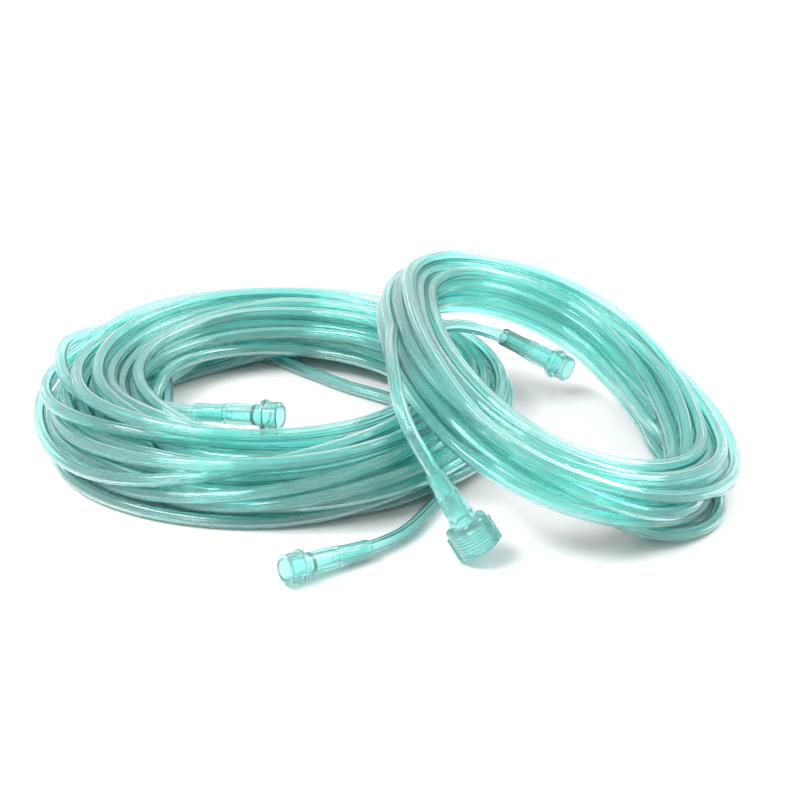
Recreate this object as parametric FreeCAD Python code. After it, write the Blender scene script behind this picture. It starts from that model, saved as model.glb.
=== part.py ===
"""Oxygen supply tubing set: a long and a short soft hose, each wound in a coil, with moulded ends.

The long coil lies flat on the floor. The short coil rests with its low side on the floor beside
it and with its high side on top of it. Every length is in millimetres, +Z is up, and the origin
is on the floor under the middle of the whole set.
"""
import FreeCAD, Part
import os
from math import atan2, cos, degrees, pi, sqrt, tan

V = FreeCAD.Vector

# Hose
hose_diameter = 6.0
hose_bore = 4.0
bend_share = 0.45

# Soft cuff, measured along its axis from the mouth
cuff_length = 41.0
cuff_mouth_diameter = 12.4
cuff_mouth_bore = 8.9
cuff_mouth_bore_depth = 12.0
cuff_collar_diameter = 14.2
cuff_collar_start = 6.2
cuff_collar_thickness = 1.8
cuff_barrel_diameter = 9.8
cuff_barrel_end = 28.0
cuff_taper_length = 5.0
cuff_socket_depth = 14.5
cuff_hose_lead = 13.0

# Threaded grip, measured along its axis from the mouth
grip_length = 38.0
grip_nut_diameter = 18.4
grip_nut_length = 12.4
grip_rib_height = 1.0
grip_rib_width = 2.6
grip_rib_length = 11.0
grip_rib_count = 4
grip_rib_start_angle = 7.0
grip_thread_bore = 12.8
grip_thread_depth = 10.5
grip_shoulder_length = 1.2
grip_flare_length = 2.0
grip_barrel_diameter = 11.0
grip_barrel_end = 33.0
grip_taper_length = 16.0
grip_socket_depth = 9.8
grip_hose_lead = 9.0

# Shared by both kinds of end
sleeve_wall = 1.25
hose_stop_length = 2.0
passage_bore = 5.2

# Long coil, a round ring lying flat
long_coil_diameter = 216.0
long_coil_width = 49.0
long_coil_height = 35.0
long_coil_corner_radius = 14.0

# Short coil, an oval ring that leans on the long one
short_coil_length = 208.0
short_coil_breadth = 151.0
short_coil_end_inset = 5.5
short_coil_width = 24.0
short_coil_height = 28.0
short_coil_corner_radius = 10.0
short_coil_flat = 1.5
short_coil_lean_direction = -11.0
short_coil_turn = 104.0
coil_gap = 0.35
least_tilt = 4.0
greatest_tilt = 50.0
tilt_halvings = 14

# The long coil that the places below were chosen beside, and the small gaps under what rests
chosen_coil_radius = 108.0
chosen_coil_height = 35.0
hose_floor_gap = 0.1
sleeve_floor_gap = 0.25


def unit(vector):
    """The vector at length one."""
    return vector * (1.0 / vector.Length)


def beside(x, y, z):
    """A place from the long coil's middle, moved out by as much as the coil's edge moves."""
    return V(x, y, z) + unit(V(x, y, 0)) * (long_coil_diameter / 2 - chosen_coil_radius)


def over(x, y, z):
    """A place that also moves up by as much as the long coil's top does."""
    return beside(x, y, z + long_coil_height - chosen_coil_height)


# Hose routes, and the mouth and sleeve end of each end piece
short_coil_offset = beside(119.5, -28.3, 0)
long_front_mouth = beside(1.5, -151.3, cuff_collar_diameter / 2 + 0.85)
long_front_sleeve = beside(37.0, -127.2, hose_diameter / 2 + sleeve_wall + sleeve_floor_gap)
long_front_route = [
    beside(76.0, -46.0, 8.0),
    beside(72.0, -71.0, hose_diameter / 2 + 0.8),
    beside(61.5, -94.5, hose_diameter / 2 + hose_floor_gap),
]
long_inner_mouth = over(-0.6, -55.7, 31.3)
long_inner_sleeve = over(-37.6, -40.3, 25.9)
long_inner_route = [
    over(-64.0, 17.0, 13.0),
    over(-62.5, -9.0, 19.0),
]
short_threaded_mouth = beside(81.9, -131.0, grip_nut_diameter / 2 - 3.3)
short_threaded_sleeve = over(61.8, -123.5, 37.2)
short_threaded_route = [
    over(49.0, -28.0, 61.0),
    over(47.0, -49.0, 63.2),
    over(46.5, -70.0, 64.8),
    over(46.9, -91.3, 64.1),
    over(48.9, -109.9, 57.1),
]
short_inner_mouth = over(136.6, 36.3, 13.6)
short_inner_sleeve = over(101.6, 23.1, 37.2)
short_inner_route = [
    over(60.0, -22.0, 55.0),
    over(70.0, 1.5, 50.5),
]


def extent(shape):
    """The box that just holds a shape."""
    return shape.optimalBoundingBox(False, False)


def along(start, direction, distance):
    """The point at a distance from start."""
    return start + unit(direction) * distance


def placed(shape, mouth, towards):
    """A shape built up the Z axis from its mouth, moved so that its axis runs to a point."""
    moved = shape.copy()
    moved.Placement = FreeCAD.Placement(mouth, FreeCAD.Rotation(V(0, 0, 1), towards - mouth))
    return moved


def turned(profile):
    """A solid of revolution about Z from (radius, height) corners in order."""
    corners = [V(radius, 0, height) for radius, height in profile]
    face = Part.Face(Part.makePolygon(corners + [corners[0]]))
    return face.revolve(V(0, 0, 0), V(0, 0, 1), 360)


def end_piece(outside, bore, bore_depth, length, socket_depth):
    """A turned end with a bore at its mouth and a socket for the hose at its other end."""
    stop = length - socket_depth
    inside = [
        (hose_diameter / 2, length),
        (hose_diameter / 2, stop),
        (hose_bore / 2, stop),
        (hose_bore / 2, stop - hose_stop_length),
        (passage_bore / 2, stop - hose_stop_length),
        (passage_bore / 2, bore_depth),
        (bore / 2, bore_depth),
        (bore / 2, 0),
    ]
    return turned(outside + inside)


def soft_cuff():
    """A cuff: a wide mouth, a thin collar behind it, a barrel and a sleeve over the hose."""
    sleeve_radius = hose_diameter / 2 + sleeve_wall
    collar_end = cuff_collar_start + cuff_collar_thickness
    outside = [
        (cuff_mouth_diameter / 2, 0),
        (cuff_mouth_diameter / 2, cuff_collar_start),
        (cuff_collar_diameter / 2, cuff_collar_start),
        (cuff_collar_diameter / 2, collar_end),
        (cuff_barrel_diameter / 2, collar_end),
        (cuff_barrel_diameter / 2, cuff_barrel_end - cuff_taper_length),
        (sleeve_radius, cuff_barrel_end),
        (sleeve_radius, cuff_length),
    ]
    return end_piece(
        outside, cuff_mouth_bore, cuff_mouth_bore_depth, cuff_length, cuff_socket_depth
    )


def threaded_grip():
    """A grip: a ribbed nut body with a thread bore, a flared neck and a sleeve over the hose."""
    sleeve_radius = hose_diameter / 2 + sleeve_wall
    nut_radius = grip_nut_diameter / 2
    shoulder_radius = (nut_radius + grip_barrel_diameter / 2) / 2
    flare_end = grip_nut_length + grip_shoulder_length + grip_flare_length
    outside = [
        (nut_radius, 0),
        (nut_radius, grip_nut_length),
        (shoulder_radius, grip_nut_length + grip_shoulder_length),
        (grip_barrel_diameter / 2, flare_end),
        (grip_barrel_diameter / 2, grip_barrel_end - grip_taper_length),
        (sleeve_radius, grip_barrel_end),
        (sleeve_radius, grip_length),
    ]
    body = end_piece(
        outside, grip_thread_bore, grip_thread_depth, grip_length, grip_socket_depth
    )
    wall = nut_radius - grip_thread_bore / 2
    for index in range(grip_rib_count):
        rib = Part.makeBox(
            wall / 2 + grip_rib_height,
            grip_rib_width,
            grip_rib_length,
            V(nut_radius - wall / 2, -grip_rib_width / 2, 0),
        )
        angle = grip_rib_start_angle + 360 * index / grip_rib_count
        rib.rotate(V(0, 0, 0), V(0, 0, 1), angle)
        body = body.fuse(rib)
    return body.removeSplitter()


def section(width, height, corner):
    """A rounded rectangle in the XZ plane, centred on the origin."""
    wide, tall = width / 2, height / 2
    flat_x, flat_z = wide - corner, tall - corner
    bow = corner / sqrt(2)
    edges = []
    for quarter in range(4):
        side = 1 if quarter in (0, 3) else -1
        up = 1 if quarter in (0, 1) else -1
        middle = V(side * (flat_x + bow), 0, up * (flat_z + bow))
        flank = V(side * wide, 0, up * flat_z)
        crown = V(side * flat_x, 0, up * tall)
        start, end = (flank, crown) if quarter in (0, 2) else (crown, flank)
        following = V(-flat_x, 0, tall)
        if quarter == 1:
            following = V(-wide, 0, -flat_z)
        if quarter == 2:
            following = V(flat_x, 0, -tall)
        if quarter == 3:
            following = V(wide, 0, flat_z)
        edges.append(Part.Arc(start, middle, end).toShape())
        edges.append(Part.LineSegment(end, following).toShape())
    return Part.Face(Part.Wire(edges))


def round_ring(diameter, width, height, corner):
    """A coil's outer shape lying on the floor, round in plan."""
    face = section(width, height, corner)
    face.translate(V(diameter / 2 - width / 2, 0, height / 2))
    return face.revolve(V(0, 0, 0), V(0, 0, 1), 360)


def oval_ring(length, breadth, end_inset, width, height, corner):
    """A coil's outer shape, oval in plan: four tangent arcs, its long axis along X."""
    half_long = (length - width) / 2
    half_short = (breadth - width) / 2
    end_radius = half_short - end_inset
    end_offset = half_long - end_radius
    slack = half_short - end_radius
    side_offset = (end_offset ** 2 - slack ** 2) / (2 * slack)
    side_radius = half_short + side_offset
    spread = degrees(atan2(side_offset, end_offset))
    pieces = []
    for side in (0, 180):
        end_face = section(width, height, corner)
        end_face.translate(V(end_radius, 0, 0))
        end_face.rotate(V(0, 0, 0), V(0, 0, 1), -spread)
        end = end_face.revolve(V(0, 0, 0), V(0, 0, 1), 2 * spread)
        end.translate(V(end_offset, 0, 0))
        end.rotate(V(0, 0, 0), V(0, 0, 1), side)
        flank_face = section(width, height, corner)
        flank_face.translate(V(side_radius, 0, 0))
        flank_face.rotate(V(0, 0, 0), V(0, 0, 1), spread)
        flank = flank_face.revolve(V(0, 0, 0), V(0, 0, 1), 180 - 2 * spread)
        flank.translate(V(0, -side_offset, 0))
        flank.rotate(V(0, 0, 0), V(0, 0, 1), side)
        pieces += [end, flank]
    return pieces[0].fuse(pieces[1:]).removeSplitter()


def tilted_coil(ring, tilt):
    """The short coil at a tilt, its low side on the floor and pressed flat there."""
    coil = ring.copy()
    coil.rotate(V(0, 0, 0), V(0, 0, 1), short_coil_turn - short_coil_lean_direction)
    coil.rotate(V(0, 0, 0), V(0, 1, 0), tilt)
    coil.rotate(V(0, 0, 0), V(0, 0, 1), short_coil_lean_direction)
    coil.translate(short_coil_offset)
    box = extent(coil)
    coil.translate(V(0, 0, -box.ZMin - short_coil_flat))
    reach = box.DiagonalLength
    below_floor = Part.makeBox(2 * reach, 2 * reach, reach, V(-reach, -reach, -reach))
    return coil.cut(below_floor)


def leaning_coil(support):
    """The short coil with its high side resting on its support, found by halving the tilt."""
    ring = oval_ring(
        short_coil_length,
        short_coil_breadth,
        short_coil_end_inset,
        short_coil_width,
        short_coil_height,
        short_coil_corner_radius,
    )
    low, high = least_tilt, greatest_tilt
    for _ in range(tilt_halvings):
        tilt = (low + high) / 2
        gap = tilted_coil(ring, tilt).distToShape(support)[0]
        if gap < coil_gap:
            low = tilt
        else:
            high = tilt
    print("short coil's tilt", round(high, 3))
    return tilted_coil(ring, high)


def hose(name, points):
    """A plain round rod along straight runs joined by tangent arcs as large as the runs allow."""
    runs = [(after - before).Length for before, after in zip(points, points[1:])]
    edges = []
    last = points[0]
    path_length = 0
    radii = []
    for index in range(1, len(points) - 1):
        corner = points[index]
        back = unit(points[index - 1] - corner)
        ahead = unit(points[index + 1] - corner)
        cut = bend_share * min(runs[index - 1], runs[index])
        half_turn = (pi - back.getAngle(ahead)) / 2
        radius = cut / tan(half_turn)
        bisector = unit(back + ahead)
        start = corner + back * cut
        end = corner + ahead * cut
        middle = corner + bisector * (radius / cos(half_turn) - radius)
        edges.append(Part.LineSegment(last, start).toShape())
        edges.append(Part.Arc(start, middle, end).toShape())
        path_length += (start - last).Length + 2 * radius * half_turn
        radii.append(round(radius, 1))
        last = end
    edges.append(Part.LineSegment(last, points[-1]).toShape())
    path_length += (points[-1] - last).Length
    circle = Part.Circle(points[0], points[1] - points[0], hose_diameter / 2).toShape()
    rod = Part.Wire(edges).makePipeShell([Part.Wire([circle])], True, False)
    expected = pi * hose_diameter ** 2 / 4 * path_length
    runs_text = [round(run, 1) for run in runs]
    print(name, "runs", runs_text, "radii", radii, "path", round(path_length, 1))
    print(name, "volume over section times length", round(rod.Volume / expected, 4))
    return rod


def tail(name, route, mouth, sleeve, length, lead_length, socket_depth):
    """A hose from its coil, straight into its end piece to the bottom of the socket."""
    lead = along(mouth, sleeve - mouth, length + lead_length)
    stop = along(mouth, sleeve - mouth, length - socket_depth)
    return hose(name, route + [lead, stop])


cuff = soft_cuff()
grip = threaded_grip()
long_coil = round_ring(
    long_coil_diameter, long_coil_width, long_coil_height, long_coil_corner_radius
)

parts = {
    "long_hose_coil": long_coil,
    "long_hose_front_tail": tail(
        "long_hose_front_tail",
        long_front_route,
        long_front_mouth,
        long_front_sleeve,
        cuff_length,
        cuff_hose_lead,
        cuff_socket_depth,
    ),
    "long_hose_front_cuff": placed(cuff, long_front_mouth, long_front_sleeve),
    "long_hose_inner_tail": tail(
        "long_hose_inner_tail",
        long_inner_route,
        long_inner_mouth,
        long_inner_sleeve,
        cuff_length,
        cuff_hose_lead,
        cuff_socket_depth,
    ),
    "long_hose_inner_cuff": placed(cuff, long_inner_mouth, long_inner_sleeve),
    "short_hose_coil": leaning_coil(long_coil),
    "short_hose_threaded_tail": tail(
        "short_hose_threaded_tail",
        short_threaded_route,
        short_threaded_mouth,
        short_threaded_sleeve,
        grip_length,
        grip_hose_lead,
        grip_socket_depth,
    ),
    "short_hose_threaded_grip": placed(grip, short_threaded_mouth, short_threaded_sleeve),
    "short_hose_inner_tail": tail(
        "short_hose_inner_tail",
        short_inner_route,
        short_inner_mouth,
        short_inner_sleeve,
        cuff_length,
        cuff_hose_lead,
        cuff_socket_depth,
    ),
    "short_hose_cuff": placed(cuff, short_inner_mouth, short_inner_sleeve),
}

whole = extent(Part.makeCompound(list(parts.values())))
to_origin = V(-whole.Center.x, -whole.Center.y, -whole.ZMin)
print("long coil's middle", [round(value, 3) for value in to_origin])

os.makedirs("parts", exist_ok=True)
for name, shape in parts.items():
    shape.translate(to_origin)
    shape.exportStep("parts/" + name + ".step")
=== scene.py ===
"""Looks of the oxygen supply tubing set: two loosely wound soft hoses and their moulded ends.

Lengths are in metres unless a name says otherwise. The hoses are laid out relative to the middle
of the long coil on the floor, which is read from the CAD frame.
"""
from math import atan2, cos, hypot, pi, radians, sin

import bpy
import numpy as np
from mathutils import Matrix, Vector


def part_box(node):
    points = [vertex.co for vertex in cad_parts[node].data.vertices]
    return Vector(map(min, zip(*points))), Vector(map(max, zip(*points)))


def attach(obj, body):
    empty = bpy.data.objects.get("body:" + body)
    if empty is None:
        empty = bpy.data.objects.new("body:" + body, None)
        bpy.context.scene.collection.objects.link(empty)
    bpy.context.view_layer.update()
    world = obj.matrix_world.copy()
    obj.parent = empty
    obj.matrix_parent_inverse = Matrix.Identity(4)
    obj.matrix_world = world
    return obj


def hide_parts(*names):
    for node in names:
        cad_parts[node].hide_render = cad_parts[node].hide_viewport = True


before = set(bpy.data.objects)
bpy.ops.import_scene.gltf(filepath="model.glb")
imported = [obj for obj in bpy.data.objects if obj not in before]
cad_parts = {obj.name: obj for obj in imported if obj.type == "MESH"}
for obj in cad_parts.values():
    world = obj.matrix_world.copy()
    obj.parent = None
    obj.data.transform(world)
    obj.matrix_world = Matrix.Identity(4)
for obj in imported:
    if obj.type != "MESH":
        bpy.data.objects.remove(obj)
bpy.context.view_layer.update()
MM = 0.001

# ---------------------------------------------------------------- sizes shared with the design

long_box_low, long_box_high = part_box("long_hose_coil")
MIDDLE = Vector(
    (
        (long_box_low.x + long_box_high.x) / 2,
        (long_box_low.y + long_box_high.y) / 2,
        long_box_low.z,
    )
)
HOSE_DIAMETER = 6.0 * MM
CUFF_LENGTH = 41.0 * MM
CUFF_SOCKET = 14.5 * MM
CUFF_LEAD = 13.0 * MM
GRIP_LENGTH = 38.0 * MM
GRIP_SOCKET = 9.8 * MM
GRIP_LEAD = 9.0 * MM

LONG_FRONT_MOUTH = Vector((1.5, -151.3, 7.95)) * MM
LONG_FRONT_SLEEVE = Vector((37.0, -127.2, 4.5)) * MM
LONG_FRONT_ROUTE = [
    Vector((76.0, -46.0, 8.0)) * MM,
    Vector((72.0, -71.0, 3.8)) * MM,
    Vector((61.5, -94.5, 3.1)) * MM,
]
LONG_INNER_MOUTH = Vector((-0.6, -55.7, 31.3)) * MM
LONG_INNER_SLEEVE = Vector((-37.6, -40.3, 25.9)) * MM
LONG_INNER_ROUTE = [
    Vector((-64.0, 17.0, 13.0)) * MM,
    Vector((-62.5, -9.0, 19.0)) * MM,
]
SHORT_THREADED_MOUTH = Vector((81.9, -131.0, 5.9)) * MM
SHORT_THREADED_SLEEVE = Vector((61.8, -123.5, 37.2)) * MM
SHORT_THREADED_ROUTE = [
    Vector((49.0, -28.0, 61.0)) * MM,
    Vector((47.0, -49.0, 63.2)) * MM,
    Vector((46.5, -70.0, 64.8)) * MM,
    Vector((46.9, -91.3, 64.1)) * MM,
    Vector((48.9, -109.9, 57.1)) * MM,
]
SHORT_INNER_MOUTH = Vector((136.6, 36.3, 13.6)) * MM
SHORT_INNER_SLEEVE = Vector((101.6, 23.1, 37.2)) * MM
SHORT_INNER_ROUTE = [
    Vector((60.0, -22.0, 55.0)) * MM,
    Vector((70.0, 1.5, 50.5)) * MM,
]

# The coils, in millimetres and degrees
LONG_COIL_REACH = 83.5
LONG_COIL_HALF_HEIGHT = 17.5
LONG_COIL_CORNER = 13
SHORT_COIL_OFFSET = (119.5, -28.3, 0)
SHORT_COIL_HALF_LONG = 92
SHORT_COIL_HALF_SHORT = 63.5
SHORT_COIL_END_RADIUS = 58
SHORT_COIL_TILT = 18.26
SHORT_COIL_LEAN = -11
SHORT_COIL_TURN = 104
SHORT_COIL_CORNER = 9


def along(mouth, sleeve, distance):
    """A point on an end piece's axis, at a distance from its mouth."""
    return mouth + (sleeve - mouth).normalized() * distance


def tail_route(route, mouth, sleeve, length, lead_length, socket):
    """A free end's points, from inside the coil to the bottom of the socket."""
    lead = along(mouth, sleeve, length + lead_length)
    stop = along(mouth, sleeve, length - socket)
    return np.array([point[:] for point in route + [lead, stop]])


# ---------------------------------------------------------------- camera

CAMERA_PLACE = Vector((1.5, -897.3, 422.1)) * MM
CAMERA_YAW = radians(3.39)
CAMERA_PITCH = radians(24.44)
CAMERA_ROLL = radians(1.385)
CAMERA_LENS = 95.75

camera_data = bpy.data.cameras.new("camera")
camera_data.lens = CAMERA_LENS
camera_data.sensor_width = 36.0
camera_data.clip_start = 0.01
camera = bpy.data.objects.new("camera", camera_data)
bpy.context.scene.collection.objects.link(camera)
turn = Matrix.Rotation(-CAMERA_YAW, 4, "Z") @ Matrix.Rotation(pi / 2 - CAMERA_PITCH, 4, "X")
turn = turn @ Matrix.Rotation(CAMERA_ROLL, 4, "Z")
camera.matrix_world = Matrix.Translation(MIDDLE + CAMERA_PLACE) @ turn
bpy.context.scene.camera = camera

# ---------------------------------------------------------------- winding

STATIONS = 36
SPACING = 1.03 * HOSE_DIAMETER
NEAR_COIL = 45 * MM
ON_PLANE = 1.2 * MM
LINE_STEPS = 5
TINY = 1e-6

# How the turns are laid out first
SPIRAL_ANGLE = 2.4
NEXT_SLOT_CHANCE = 0.45
FILL = 1.05
WANDER = 2.0 * MM
WANDER_LENGTHS = (11, 13)
HOLD_STEPS = 2
HOLD_EASE_STEPS = 12
LOOSE_FREEDOM = 2.5

# How they are then pushed apart, station by station
PUSH_ROUNDS = 420
PUSH_SHARE = 0.45
PULL_BACK = 0.03
PUSH_EASE = 0.3
SETTLE = 0.02 * MM
FREE_STEPS = 4

# How they are pushed apart at last, all along the spline
SAMPLES = 3
OWN_SAMPLES = 12
PAIR_BLOCK = 500
PAIR_ROUNDS = 10
PARTING_ROUNDS = 200
PARTING_PACE = 1.0
PARTING_EASE = 0.1
PARTING_REACH = 8 * MM
PARTING_BIAS = 2 * MM


class Ring:
    """A coil's middle line, cut at evenly spaced stations, with its own outward and up.

    widths and heights are the coil's half section at each station, and corner its rounding.
    """

    def __init__(self, points, outward, up, widths, heights, corner):
        self.points = points
        self.outward = outward
        self.up = up
        self.tangent = np.cross(up, outward)
        self.widths = widths - HOSE_DIAMETER / 2
        self.heights = heights - HOSE_DIAMETER / 2
        self.corner = corner - HOSE_DIAMETER / 2

    def place(self, station, outward, up):
        """Points in space for offsets from the middle line at the given stations."""
        return (
            self.points[station]
            + outward[..., None] * self.outward[station]
            + up[..., None] * self.up
        )

    def locate(self, point):
        """The station whose plane a point is nearest to, and its offsets from the middle line."""
        offsets = point - self.points
        outward = (offsets * self.outward).sum(1)
        up = offsets @ self.up
        astray = np.abs((offsets * self.tangent).sum(1))
        astray[np.abs(outward) > NEAR_COIL] = 1.0
        station = int(np.argmin(astray))
        return station, np.array([outward[station], up[station]])

    def crossings(self, line):
        """Where a line passes through each station's plane, near the coil."""
        found = [[] for _ in range(STATIONS)]
        for point in line:
            offsets = point - self.points
            outward = (offsets * self.outward).sum(1)
            up = offsets @ self.up
            off_plane = np.abs((offsets * self.tangent).sum(1))
            close = (off_plane < ON_PLANE) & (np.abs(outward) < NEAR_COIL)
            for station in np.flatnonzero(close & (np.abs(up) < NEAR_COIL)):
                found[station].append((outward[station], up[station]))
        return [np.array(each).reshape(-1, 2) for each in found]

    def inside(self, offsets, station):
        """Offsets moved the shortest way into the rounded section at their stations."""
        core = np.stack([self.widths[station], self.heights[station]], 1) - self.corner
        near = np.clip(offsets, -core, core)
        beyond = offsets - near
        reach = np.hypot(beyond[:, 0], beyond[:, 1])
        scale = np.minimum(self.corner / np.maximum(reach, TINY), 1.0)
        return near + beyond * scale[:, None]


def smooth_step(value):
    """Eases from 0 to 1 as the value does, and stays there."""
    value = np.clip(value, 0, 1)
    return value * value * (3 - 2 * value)


def around(given, values):
    """Values at every station, eased between those given at a few stations round the ring."""
    stations = np.arange(STATIONS)
    first = np.array(given + [given[0] + STATIONS])
    values = np.array(values + [values[0]])
    stations = np.where(stations < first[0], stations + STATIONS, stations)
    index = np.searchsorted(first, stations, side="right") - 1
    index = np.clip(index, 0, len(first) - 2)
    ease = smooth_step((stations - first[index]) / (first[index + 1] - first[index]))
    return values[index] * (1 - ease) + values[index + 1] * ease


def long_ring():
    """The long coil's ring, flat on the floor."""
    angle = np.arange(STATIONS) * 2 * pi / STATIONS
    outward = np.stack([np.cos(angle), np.sin(angle), 0 * angle], 1)
    points = outward * LONG_COIL_REACH * MM + np.array([0, 0, LONG_COIL_HALF_HEIGHT * MM])
    up = np.array([0.0, 0.0, 1.0])
    widths = around([0, 9, 18, 27], [24.5, 24.0, 26.5, 24.5]) * MM
    heights = around([0, 18], [LONG_COIL_HALF_HEIGHT, LONG_COIL_HALF_HEIGHT]) * MM
    return Ring(points, outward, up, widths, heights, LONG_COIL_CORNER * MM)


def short_ring():
    """The short coil's oval ring, leaning on the long coil."""
    half_long, half_short = SHORT_COIL_HALF_LONG * MM, SHORT_COIL_HALF_SHORT * MM
    end_radius = SHORT_COIL_END_RADIUS * MM
    tilt, lean = radians(SHORT_COIL_TILT), radians(SHORT_COIL_LEAN)
    turn = radians(SHORT_COIL_TURN)
    end_offset = half_long - end_radius
    slack = half_short - end_radius
    side_offset = (end_offset ** 2 - slack ** 2) / (2 * slack)
    side_radius = half_short + side_offset
    spread = atan2(side_offset, end_offset)
    arcs = []
    for side, flip in ((0, 1), (pi, -1)):
        arcs.append((end_offset * flip, 0, end_radius, side - spread, 2 * spread))
        arcs.append((0, -side_offset * flip, side_radius, side + spread, pi - 2 * spread))
    ends = np.cumsum([radius * sweep for _, _, radius, _, sweep in arcs])
    points, outward = [], []
    for distance in np.arange(STATIONS) * ends[-1] / STATIONS:
        index = int(np.searchsorted(ends, distance, side="right"))
        x, y, radius, start, sweep = arcs[index]
        angle = start + sweep + (distance - ends[index]) / radius
        direction = np.array([cos(angle), sin(angle), 0])
        points.append(np.array([x, y, 0]) + radius * direction)
        outward.append(direction)
    matrix = Matrix.Rotation(lean, 3, "Z") @ Matrix.Rotation(tilt, 3, "Y")
    matrix = np.array(matrix @ Matrix.Rotation(turn - lean, 3, "Z"))
    points = np.array(points) @ matrix.T + np.array(SHORT_COIL_OFFSET) * MM
    low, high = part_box("short_hose_coil")
    points[:, 2] += (low.z + high.z) / 2 - MIDDLE.z
    widths = around([2, 9, 16, 22, 29], [11.5, 12.0, 13.0, 16.0, 13.5]) * MM
    heights = around([2, 9, 16, 22, 29], [15.5, 14.0, 13.5, 12.0, 13.5]) * MM
    outward = np.array(outward) @ matrix.T
    return Ring(points, outward, matrix[:, 2], widths, heights, SHORT_COIL_CORNER * MM)


def smooth_line(points, steps=12):
    """The line that a NURBS spline of order 3 makes of its control points."""
    middles = (points[:-1] + points[1:]) / 2
    part = np.arange(steps)[:, None] / steps
    pieces = [points[:1]]
    for before, corner, after in zip(middles, points[1:-1], middles[1:]):
        curve = (1 - part) ** 2 * before + 2 * part * (1 - part) * corner + part ** 2 * after
        pieces.append(curve)
    return np.concatenate(pieces + [points[-1:]])


def smooth_noise(random, count, wavelength):
    """A smooth random curve of about unit size with the given wavelength in points."""
    knots = random.normal(size=count // wavelength + 4)
    place = np.arange(count) / wavelength + 1
    low = place.astype(int)
    ease = smooth_step(place - low)
    return knots[low] * (1 - ease) + knots[low + 1] * ease


def twisted(places, angle):
    """Places in the section turned about its middle."""
    x, y = places[..., 0], places[..., 1]
    along_x = x * np.cos(angle) - y * np.sin(angle)
    along_y = x * np.sin(angle) + y * np.cos(angle)
    return np.stack([along_x, along_y], -1)


def slot_walk(count, twist, first, random):
    """Even places in a round section of size 1, one a turn, visited in a loose walk."""
    reach = np.sqrt(np.arange(0.5, count) / count)[:, None]
    places = twisted(reach * [1, 0], SPIRAL_ANGLE * np.arange(count))
    left = list(range(count))
    here = min(left, key=lambda i: hypot(*(places[i] - first)))
    visited = [here]
    left.remove(here)
    while left:
        aim = twisted(places[here], twist)
        ranked = sorted(left, key=lambda i: hypot(*(places[i] - aim)))
        here = ranked[min(int(random.geometric(NEXT_SLOT_CHANCE)) - 1, len(ranked) - 1)]
        visited.append(here)
        left.remove(here)
    return places[visited]


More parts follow.
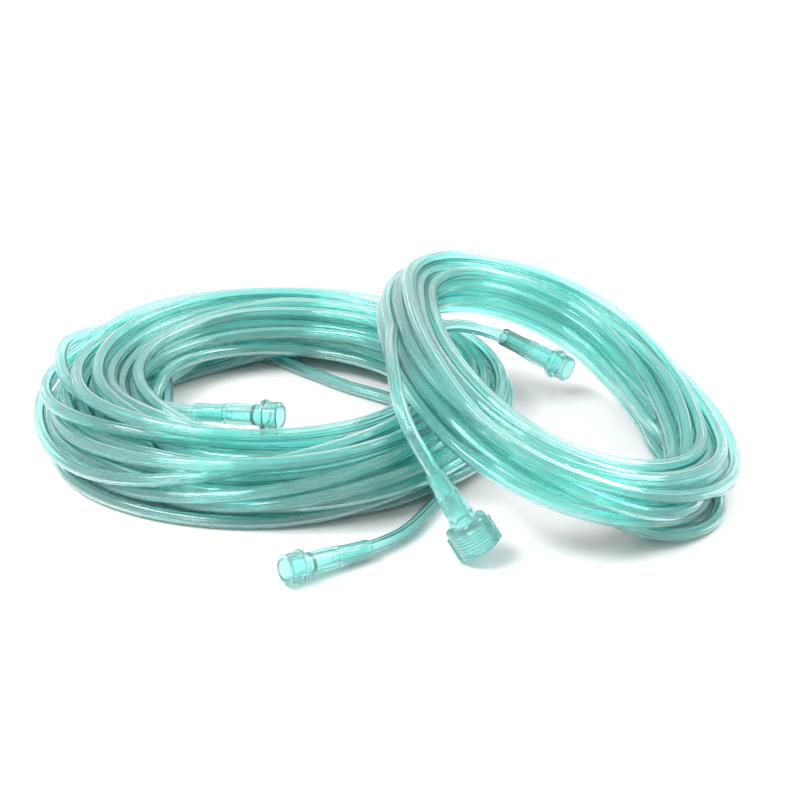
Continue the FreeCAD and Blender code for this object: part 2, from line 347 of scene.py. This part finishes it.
def wind(ring, start, end, turns, direction, seed, twists, loose, hollow):
    """A coil's points between its two free ends.

    start and end are the free ends' points from the coil outwards. The turns take places in
    the ring's section in a loose order, twist about each other, and are pushed apart in each
    station's section. Between stations they may still touch, which parted eases later. loose
    lists turns that stand away: the turn, the station, how many stations it lasts, and the
    offsets outward and up. hollow lists places that the turns keep off: the first and last
    station, and the offsets.
    """
    random = np.random.default_rng(seed)
    first_station, first_place = ring.locate(start[0])
    last_station, last_place = ring.locate(end[0])
    steps = ((last_station - first_station) * direction) % STATIONS + turns * STATIONS
    count = steps + 1
    index = np.arange(count)
    station = (first_station + direction * index) % STATIONS
    size = np.stack([ring.widths[station], ring.heights[station]], 1)

    twist_at = np.concatenate([[0], np.cumsum(twists)])
    whole = twist_at[-1]
    round_index = (direction * (station - first_station)) % STATIONS
    twist = twist_at[round_index]
    slots = slot_walk(turns + 2, whole, first_place / size[0], random)
    turn_index = index // STATIONS
    ease = smooth_step(round_index / STATIONS)[:, None]
    ahead = twisted(slots[turn_index + 1], -whole)
    goal = twisted(slots[turn_index] * (1 - ease) + ahead * ease, twist)
    goal *= FILL
    goal *= size
    wander = [smooth_noise(random, count, length) for length in WANDER_LENGTHS]
    goal += WANDER * np.stack(wander, 1)
    for place, distance in ((first_place, index), (last_place, index[::-1])):
        hold = 1 - smooth_step((distance - HOLD_STEPS) / HOLD_EASE_STEPS)[:, None]
        goal = goal * (1 - hold) + place * hold
    free = np.zeros((count, 1))
    for turn, where, spread, out, up in loose:
        middle = turn * STATIONS + (direction * (where - first_station)) % STATIONS
        bump = np.exp(-(((index - middle) / spread) ** 2))[:, None]
        goal = goal * (1 - bump) + np.array([out, up]) * MM * bump
        free = np.maximum(free, np.minimum(LOOSE_FREEDOM * bump, 1))

    obstacles = [ring.crossings(smooth_line(start)), ring.crossings(smooth_line(end))]
    rows = [np.flatnonzero(station == s) for s in range(STATIONS)]
    for first, last, out, up in hollow:
        kept_off = [[] if s < first or s > last else [(out * MM, up * MM)] for s in range(STATIONS)]
        obstacles.append([np.array(each).reshape(-1, 2) for each in kept_off])
    fixed = [np.concatenate([each[s] for each in obstacles]) for s in range(STATIONS)]
    offsets = goal.copy()
    for step in range(PUSH_ROUNDS):
        strength = 1 - step / PUSH_ROUNDS
        moved = (offsets - goal) * (1 - PULL_BACK * strength)
        moved[1:-1] += PUSH_EASE * ((moved[:-2] + moved[2:]) / 2 - moved[1:-1])
        offsets = goal + moved
        offsets[:, 1] -= SETTLE
        for row, others in zip(rows, fixed):
            here = offsets[row]
            apart = here[:, None] - here[None, :]
            gap = np.hypot(apart[..., 0], apart[..., 1])
            np.fill_diagonal(gap, 1.0)
            push = np.maximum(SPACING - gap, 0) / np.maximum(gap, TINY) * PUSH_SHARE
            move = (push[..., None] * apart).sum(1)
            if len(others):
                apart = here[:, None] - others[None, :]
                gap = np.hypot(apart[..., 0], apart[..., 1])
                gap[(row < FREE_STEPS) | (row >= count - FREE_STEPS)] = 1.0
                push = np.maximum(SPACING - gap, 0) / np.maximum(gap, TINY)
                move += (push[..., None] * apart).max(1) + (push[..., None] * apart).min(1)
            offsets[row] = here + move
        kept = ring.inside(offsets, station)
        offsets = kept + (offsets - kept) * free
        offsets[0] = first_place
        offsets[-1] = last_place
        height = ring.place(station, offsets[:, 0], offsets[:, 1])[:, 2]
        sunk = np.maximum(HOSE_DIAMETER / 2 - height, 0)
        offsets[:, 1] += sunk / ring.up[2]
    return ring.place(station, offsets[:, 0], offsets[:, 1])


def twist_plan(total_degrees, first, busy_start, busy_end, share, direction):
    """How much the strands twist at each step of a turn; share of it lies in a busy stretch."""
    steps = (first + direction * np.arange(STATIONS)) % STATIONS
    inside = ((steps - busy_start) % STATIONS) < ((busy_end - busy_start) % STATIONS)
    weights = np.where(inside, share / inside.sum(), (1 - share) / (~inside).sum())
    return radians(total_degrees) * weights


def spread_over(weights, values, count):
    """Values at a spline's samples, summed onto its control points by their weights."""
    total = np.zeros((count,) + values.shape[1:])
    home = np.arange(len(values)) // SAMPLES
    for shift in range(3):
        np.add.at(total, home + shift, weights[:, shift, None] * values)
    return total


def near_pairs(samples, reach):
    """Pairs of samples nearer than reach whose places along the line are far apart."""
    found = []
    for first in range(0, len(samples), PAIR_BLOCK):
        block = samples[first : first + PAIR_BLOCK]
        rest = samples[first:]
        square = ((block[:, None] - rest[None]) ** 2).sum(-1)
        low, high = np.nonzero(square < reach ** 2)
        far = high - low > OWN_SAMPLES
        found.append(np.stack([low[far], high[far]], 1) + first)
    return np.concatenate(found)


def parted(points, first, last):
    """Control points moved to bring the spline's strands about a diameter apart.

    Only the points from first to last move, and none by more than PARTING_REACH. A few tight
    crossings stay. Pushes are found at samples of the spline itself, because two strands can
    cross between their control points. Of two strands that run through each other, the later
    one goes outward and up.
    """
    start = points.copy()
    count = len(points)
    part = np.tile(np.arange(SAMPLES) / SAMPLES, count - 2)
    weights = np.stack([(1 - part) ** 2 / 2, 0.5 + part * (1 - part), part ** 2 / 2], 1)
    home = np.arange(len(part)) // SAMPLES
    share = spread_over(weights, np.ones((len(part), 1)), count)
    moving = np.zeros((count, 1))
    moving[first:last] = 1
    for step in range(PARTING_ROUNDS):
        samples = sum(weights[:, shift, None] * points[home + shift] for shift in range(3))
        if step % PAIR_ROUNDS == 0:
            pairs = near_pairs(samples, 2 * SPACING)
        apart = samples[pairs[:, 0]] - samples[pairs[:, 1]]
        gap = np.linalg.norm(apart, axis=1)
        tangled = (gap < SPACING / 2)[:, None]
        outward = samples[pairs[:, 0]] - samples.mean(0)
        outward /= np.linalg.norm(outward, axis=1)[:, None]
        apart -= PARTING_BIAS * (outward + np.array([0, 0, 1])) * tangled
        length = np.maximum(np.linalg.norm(apart, axis=1), TINY)
        push = (np.maximum(SPACING - gap, 0) / length)[:, None] * apart / 2
        moves = np.zeros_like(samples)
        close = np.zeros((len(samples), 1))
        for side, sign in ((0, 1), (1, -1)):
            np.add.at(moves, pairs[:, side], sign * push)
            np.add.at(close, pairs[:, side], (gap < SPACING)[:, None] * 1.0)
        moves /= np.maximum(close, 1) ** 0.5
        moved = points - start + PARTING_PACE * spread_over(weights, moves, count) / share * moving
        moved[1:-1] += PARTING_EASE * moving[1:-1] * ((moved[:-2] + moved[2:]) / 2 - moved[1:-1])
        far = np.linalg.norm(moved, axis=1)[:, None]
        moved *= np.minimum(PARTING_REACH / np.maximum(far, TINY), 1)
        points = start + moved
        points[first:last, 2] = np.maximum(points[first:last, 2], HOSE_DIAMETER / 2)
    return points


def hose_line(name, points):
    """Points along the NURBS spline that the given control points steer."""
    curve = bpy.data.curves.new(name, "CURVE")
    curve.dimensions = "3D"
    curve.resolution_u = LINE_STEPS
    spline = curve.splines.new("NURBS")
    spline.points.add(len(points) - 1)
    for point, place in zip(spline.points, points):
        point.co = (*place, 1)
    spline.order_u = 3
    spline.use_endpoint_u = True
    bare = bpy.data.objects.new(name, curve)
    mesh = bpy.data.meshes.new_from_object(bare)
    line = np.array([vertex.co for vertex in mesh.vertices])
    bpy.data.objects.remove(bare)
    bpy.data.meshes.remove(mesh)
    return line


def joined(start_tail, coil, end_tail):
    """A whole hose's control points, from one socket to the other."""
    points = np.concatenate([start_tail[:0:-1], coil, end_tail[1:]])
    points = parted(points, len(start_tail) + 1, len(points) - len(end_tail) - 1)
    return points + np.array(MIDDLE)


def frames(points):
    """Directions across a line that turn as little as they can along it."""
    tangent = np.gradient(points, axis=0)
    tangent /= np.linalg.norm(tangent, axis=1)[:, None]
    side = np.cross(tangent[0], [0.0, 0.0, 1.0])
    sides = []
    for direction in tangent:
        side = side - direction * (side @ direction)
        side = side / np.linalg.norm(side)
        sides.append(side)
    sides = np.array(sides)
    return sides, np.cross(tangent, sides)


def tube(name, points, reach, inward=False):
    """A tube mesh that follows a line; reach is its radius at even angles round it."""
    sides, others = frames(points)
    angle = np.arange(len(reach)) * 2 * pi / len(reach)
    ring = (
        points[:, None]
        + (reach * np.cos(angle))[None, :, None] * sides[:, None]
        + (reach * np.sin(angle))[None, :, None] * others[:, None]
    )
    return grid_piece(name, ring, inward)


def grid_piece(name, rings, inward=False):
    """A mesh piece from rings of points, each joined to the next."""
    count, around_count = rings.shape[:2]
    step = np.arange(count - 1)[:, None] * around_count
    near = np.arange(around_count)[None, :]
    following = (near + 1) % around_count
    corners = [
        step + near,
        step + following,
        step + around_count + following,
        step + around_count + near,
    ]
    quads = np.stack(corners, -1).reshape(-1, 4)
    if inward:
        quads = quads[:, ::-1]
    mesh = bpy.data.meshes.new(name)
    mesh.from_pydata(rings.reshape(-1, 3).tolist(), [], quads.tolist())
    mesh.shade_smooth()
    piece = bpy.data.objects.new(name, mesh)
    bpy.context.scene.collection.objects.link(piece)
    return piece


# ---------------------------------------------------------------- the hoses' lines

LONG_TURNS = 28
LONG_SEED = 11
SHORT_TURNS = 15
SHORT_SEED = 5

# How many degrees the strands twist in a turn, and the stretch where most of that lies: its
# first and last station, and its share
LONG_TWIST = 120
LONG_BUSY = (20, 34, 0.75)
SHORT_TWIST = 70
SHORT_BUSY = (24, 8, 0.6)

# Turns that stand away: the turn, the station, how many stations, and outward and up in mm
LONG_LOOSE = [
    (4, 18, 4.0, 25.5, 4.0),
    (9, 21, 4.5, 24.0, -6.0),
    (13, 16, 4.0, 20.0, 6.0),
    (17, 22, 5.0, 24.5, -13.0),
    (22, 5, 5.4, -30.5, -17.0),
    (20, 18, 5.0, -25.0, -4.0),
]
SHORT_LOOSE = [
    (2, 28, 2.6, 13.0, -4.0),
    (5, 30, 3.0, 12.5, 4.0),
    (8, 26, 3.0, 13.0, -6.0),
    (11, 24, 3.0, 14.0, 2.0),
]
# Hollows that the turns keep off: the first and last station, and outward and up in mm
LONG_HOLLOW = [(2, 9, -19.0, -14.5), (2, 9, -12.5, -14.5)]
SHORT_HOLLOW = []

long_front = tail_route(
    LONG_FRONT_ROUTE, LONG_FRONT_MOUTH, LONG_FRONT_SLEEVE, CUFF_LENGTH, CUFF_LEAD, CUFF_SOCKET
)
long_inner = tail_route(
    LONG_INNER_ROUTE, LONG_INNER_MOUTH, LONG_INNER_SLEEVE, CUFF_LENGTH, CUFF_LEAD, CUFF_SOCKET
)
short_threaded = tail_route(
    SHORT_THREADED_ROUTE,
    SHORT_THREADED_MOUTH,
    SHORT_THREADED_SLEEVE,
    GRIP_LENGTH,
    GRIP_LEAD,
    GRIP_SOCKET,
)
short_inner = tail_route(
    SHORT_INNER_ROUTE, SHORT_INNER_MOUTH, SHORT_INNER_SLEEVE, CUFF_LENGTH, CUFF_LEAD, CUFF_SOCKET
)
long_start = long_ring().locate(long_front[0])[0]
short_start = short_ring().locate(short_threaded[0])[0]
long_twists = twist_plan(LONG_TWIST, long_start, *LONG_BUSY, 1)
short_twists = twist_plan(SHORT_TWIST, short_start, *SHORT_BUSY, -1)
long_coil = wind(
    long_ring(),
    long_front,
    long_inner,
    turns=LONG_TURNS,
    direction=1,
    seed=LONG_SEED,
    twists=long_twists,
    loose=LONG_LOOSE,
    hollow=LONG_HOLLOW,
)
short_coil = wind(
    short_ring(),
    short_threaded,
    short_inner,
    turns=SHORT_TURNS,
    direction=-1,
    seed=SHORT_SEED,
    twists=short_twists,
    loose=SHORT_LOOSE,
    hollow=SHORT_HOLLOW,
)
long_line = hose_line("long_hose_line", joined(long_front, long_coil, long_inner))
short_line = hose_line("short_hose_line", joined(short_threaded, short_coil, short_inner))

# ---------------------------------------------------------------- end pieces


def lathe(name, profile, mouth, sleeve, count=72, shape=None):
    """A closed turned piece from (radius, height) points in millimetres along its axis.

    shape may change the radius with the height and the angle round the axis.
    """
    angle = np.arange(count) * 2 * pi / count
    turn = Vector((0, 0, 1)).rotation_difference(sleeve - mouth).to_matrix()
    rings = []
    for radius, height in profile + [profile[0]]:
        reach = radius + 0 * angle if shape is None else shape(radius, height, angle)
        local = np.stack([reach * np.cos(angle), reach * np.sin(angle), height + 0 * angle], 1)
        rings.append(local @ np.array(turn).T)
    rings = np.array(rings) * MM + np.array(mouth + MIDDLE)
    return grid_piece(name, rings)


def rounded(profile, size):
    """A closed profile with each corner cut to a small curve."""
    points = []
    closed = [profile[-1]] + profile + [profile[0]]
    for before, corner, after in zip(closed, closed[1:], closed[2:]):
        before, corner, after = Vector(before), Vector(corner), Vector(after)
        cut = min(size, (before - corner).length / 2.2, (after - corner).length / 2.2)
        back = corner + (before - corner).normalized() * cut
        ahead = corner + (after - corner).normalized() * cut
        for part in (0.0, 0.35, 0.65, 1.0):
            bend = back * (1 - part) ** 2 + corner * 2 * part * (1 - part) + ahead * part ** 2
            points.append((bend.x, bend.y))
    return points


def divided(profile, low, high, step):
    """A profile with points added along its runs between two heights."""
    points = []
    for start, end in zip(profile, profile[1:] + profile[:1]):
        points.append(start)
        rise = end[1] - start[1]
        if abs(rise) > step and low <= min(start[1], end[1]) and max(start[1], end[1]) <= high:
            parts = int(abs(rise) / step) + 1
            for part in range(1, parts):
                share = part / parts
                points.append((start[0] + (end[0] - start[0]) * share, start[1] + rise * share))
    return points


def cuff_profile():
    """The soft cuff: mouth, collar, barrel and sleeve outside, stepped bore inside."""
    outside = [(4.45, 0.0), (6.2, 0.0), (6.2, 6.2), (7.1, 6.2), (7.1, 8.0), (4.9, 8.0)]
    sleeve = [(4.9, 23.0), (4.3, 30.0), (4.25, 41.0), (3.02, 41.0), (3.02, 26.5)]
    inside = [(2.0, 26.5), (2.0, 24.5), (2.6, 24.5), (2.7, 13.0), (4.1, 11.0)]
    return rounded(outside + sleeve + inside, 0.4)


def grip_profile():
    """The threaded grip: ribbed nut, flared neck and sleeve outside, thread bore inside."""
    nut = [(6.6, 0.0), (9.2, 0.0), (9.2, 13.6), (6.3, 14.4), (5.5, 17.5)]
    sleeve = [(4.9, 26.0), (4.25, 33.0), (4.2, 38.0), (3.02, 38.0), (3.02, 28.2)]
    inside = [(2.0, 28.2), (2.0, 26.2), (2.7, 26.2), (2.9, 12.0), (6.5, 10.8)]
    return divided(rounded(nut + sleeve + inside, 1.3), 0.0, 13.0, 0.3)


RIB_APART = pi / 2
RIB_START = radians(7)
RIB_HEIGHT = 1.0
RIB_HALF_FLAT = 0.9
RIB_SIDE = 0.7
RIB_TOP = 10.8
RIB_TOP_EDGE = 0.5
THREAD_PITCH = 1.41
THREAD_DEPTH = 0.55
THREAD_START = 0.8
THREAD_END = 10.4


def grip_shape(radius, height, angle):
    """Four ribs on the nut's outside, which stop short of its shoulder, and a thread inside."""
    if radius > 8 and height < 12.0:
        away = (angle - RIB_START + RIB_APART / 2) % RIB_APART - RIB_APART / 2
        rib = 1 - smooth_step((np.abs(away) * radius - RIB_HALF_FLAT) / RIB_SIDE)
        return radius + RIB_HEIGHT * rib * (1 - smooth_step((height - RIB_TOP) / RIB_TOP_EDGE))
    if 5.5 < radius < 7 and THREAD_START < height < THREAD_END:
        turn_part = (height / THREAD_PITCH + angle / (2 * pi)) % 1.0
        crest = smooth_step(np.abs(turn_part - 0.5) * 3.2 - 0.3)
        return radius + THREAD_DEPTH * (crest - 0.4)
    return radius + 0 * angle


def plain(name, color):
    """A plain smooth material."""
    material = bpy.data.materials.new(name)
    material.use_nodes = True
    shader = material.node_tree.nodes["Principled BSDF"]
    shader.inputs["Base Color"].default_value = (*color, 1)
    shader.inputs["Roughness"].default_value = 0.25
    return material


PLASTIC_IOR = 1.5
DRIFT_SCALE = 22.0
DRIFT_DETAIL = 3.0
DRIFT_LOW, DRIFT_HIGH = 0.35, 0.65
LEAST_HAZE, MOST_HAZE = 0.7, 1.4


def clear(name, light, deep, transmission, roughness):
    """A soft clear plastic whose tint and haze drift slowly along it."""
    material = bpy.data.materials.new(name)
    material.use_nodes = True
    nodes = material.node_tree.nodes
    links = material.node_tree.links
    shader = nodes["Principled BSDF"]
    shader.inputs["Transmission Weight"].default_value = transmission
    shader.inputs["IOR"].default_value = PLASTIC_IOR
    place = nodes.new("ShaderNodeTexCoord")
    noise = nodes.new("ShaderNodeTexNoise")
    noise.inputs["Scale"].default_value = DRIFT_SCALE
    noise.inputs["Detail"].default_value = DRIFT_DETAIL
    links.new(place.outputs["Object"], noise.inputs["Vector"])
    tint = nodes.new("ShaderNodeValToRGB")
    tint.color_ramp.elements[0].position = DRIFT_LOW
    tint.color_ramp.elements[1].position = DRIFT_HIGH
    tint.color_ramp.elements[0].color = (*light, 1)
    tint.color_ramp.elements[1].color = (*deep, 1)
    links.new(noise.outputs["Fac"], tint.inputs["Fac"])
    links.new(tint.outputs["Color"], shader.inputs["Base Color"])
    haze = nodes.new("ShaderNodeMapRange")
    haze.inputs["To Min"].default_value = roughness * LEAST_HAZE
    haze.inputs["To Max"].default_value = roughness * MOST_HAZE
    links.new(noise.outputs["Fac"], haze.inputs["Value"])
    links.new(haze.outputs["Result"], shader.inputs["Roughness"])
    return material


hose_material = clear("hose", (0.75, 0.99, 0.97), (0.60, 0.975, 0.945), 0.955, 0.055)
end_material = clear("end", (0.55, 0.945, 0.91), (0.46, 0.915, 0.87), 0.9, 0.1)

pieces = {}
for name, mouth, sleeve, body in (
    ("long_hose_front_cuff", LONG_FRONT_MOUTH, LONG_FRONT_SLEEVE, "long_hose"),
    ("long_hose_inner_cuff", LONG_INNER_MOUTH, LONG_INNER_SLEEVE, "long_hose"),
    ("short_hose_cuff", SHORT_INNER_MOUTH, SHORT_INNER_SLEEVE, "short_hose"),
):
    pieces[name] = lathe(name + "_look", cuff_profile(), mouth, sleeve)
    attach(pieces[name], body)
grip = lathe(
    "short_hose_threaded_grip_look",
    grip_profile(),
    SHORT_THREADED_MOUTH,
    SHORT_THREADED_SLEEVE,
    count=192,
    shape=grip_shape,
)
pieces["short_hose_threaded_grip"] = grip
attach(grip, "short_hose")
for name, piece in pieces.items():
    piece.data.materials.append(end_material)
    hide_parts(name)

# ---------------------------------------------------------------- hoses

SIDES = 16
LUMEN_SIDES = 18
LUMEN_REACH = 1.85
LUMEN_STAR = 0.3
LUMEN_POINTS = 6
round_reach = np.full(SIDES, HOSE_DIAMETER / 2)
lumen_angle = np.arange(LUMEN_SIDES) * 2 * pi / LUMEN_SIDES
lumen_reach = (LUMEN_REACH + LUMEN_STAR * np.cos(LUMEN_POINTS * lumen_angle)) * MM
for name, line, length, nodes, far, near_end in (
    (
        "long_hose",
        long_line,
        15.2,
        ("long_hose_coil", "long_hose_front_tail", "long_hose_inner_tail"),
        "long_hose_inner_cuff",
        "long_hose_front_cuff",
    ),
    (
        "short_hose",
        short_line,
        7.7,
        ("short_hose_coil", "short_hose_threaded_tail", "short_hose_inner_tail"),
        "short_hose_cuff",
        "short_hose_threaded_grip",
    ),
):
    piece = tube(name, line, round_reach)
    lumen = tube(name + "_lumen", line, lumen_reach, inward=True)
    for each in (piece, lumen):
        each.data.materials.append(hose_material)
        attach(each, name)
    measured = float(np.linalg.norm(np.diff(line, axis=0), axis=1).sum())
    print(name, "points", len(line), "length", round(measured, 3))
    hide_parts(*nodes)

# ---------------------------------------------------------------- floor and light

FLOOR = 20.0
BOUNCES = 40

floor_mesh = bpy.data.meshes.new("floor")
floor_corners = [(-FLOOR, -FLOOR, 0), (FLOOR, -FLOOR, 0), (FLOOR, FLOOR, 0), (-FLOOR, FLOOR, 0)]
floor_mesh.from_pydata(floor_corners, [], [(0, 1, 2, 3)])
floor = bpy.data.objects.new("floor", floor_mesh)
bpy.context.scene.collection.objects.link(floor)
floor.data.materials.append(plain("floor", (0.92, 0.92, 0.92)))

world = bpy.data.worlds.new("world")
world.use_nodes = True
world.node_tree.nodes["Background"].inputs["Color"].default_value = (1, 1, 1, 1)
world.node_tree.nodes["Background"].inputs["Strength"].default_value = 1.0
bpy.context.scene.world = world
bpy.context.scene.view_settings.view_transform = "Standard"
bpy.context.scene.cycles.max_bounces = BOUNCES
bpy.context.scene.cycles.transmission_bounces = BOUNCES


def softbox(name, place, aim, width, height, energy):
    """A soft rectangular lamp that faces a point."""
    lamp = bpy.data.lights.new(name, "AREA")
    lamp.shape = "RECTANGLE"
    lamp.size, lamp.size_y, lamp.energy = width, height, energy
    box = bpy.data.objects.new(name, lamp)
    box.location = Vector(place)
    box.rotation_euler = (Vector(aim) - box.location).to_track_quat("-Z", "Y").to_euler()
    bpy.context.scene.collection.objects.link(box)


softbox("key", (-0.6, -0.3, 0.9), (0, 0, 0), 0.8, 0.25, 10)
softbox("fill", (0.7, 0.2, 0.8), (0, 0, 0), 0.8, 0.3, 6)
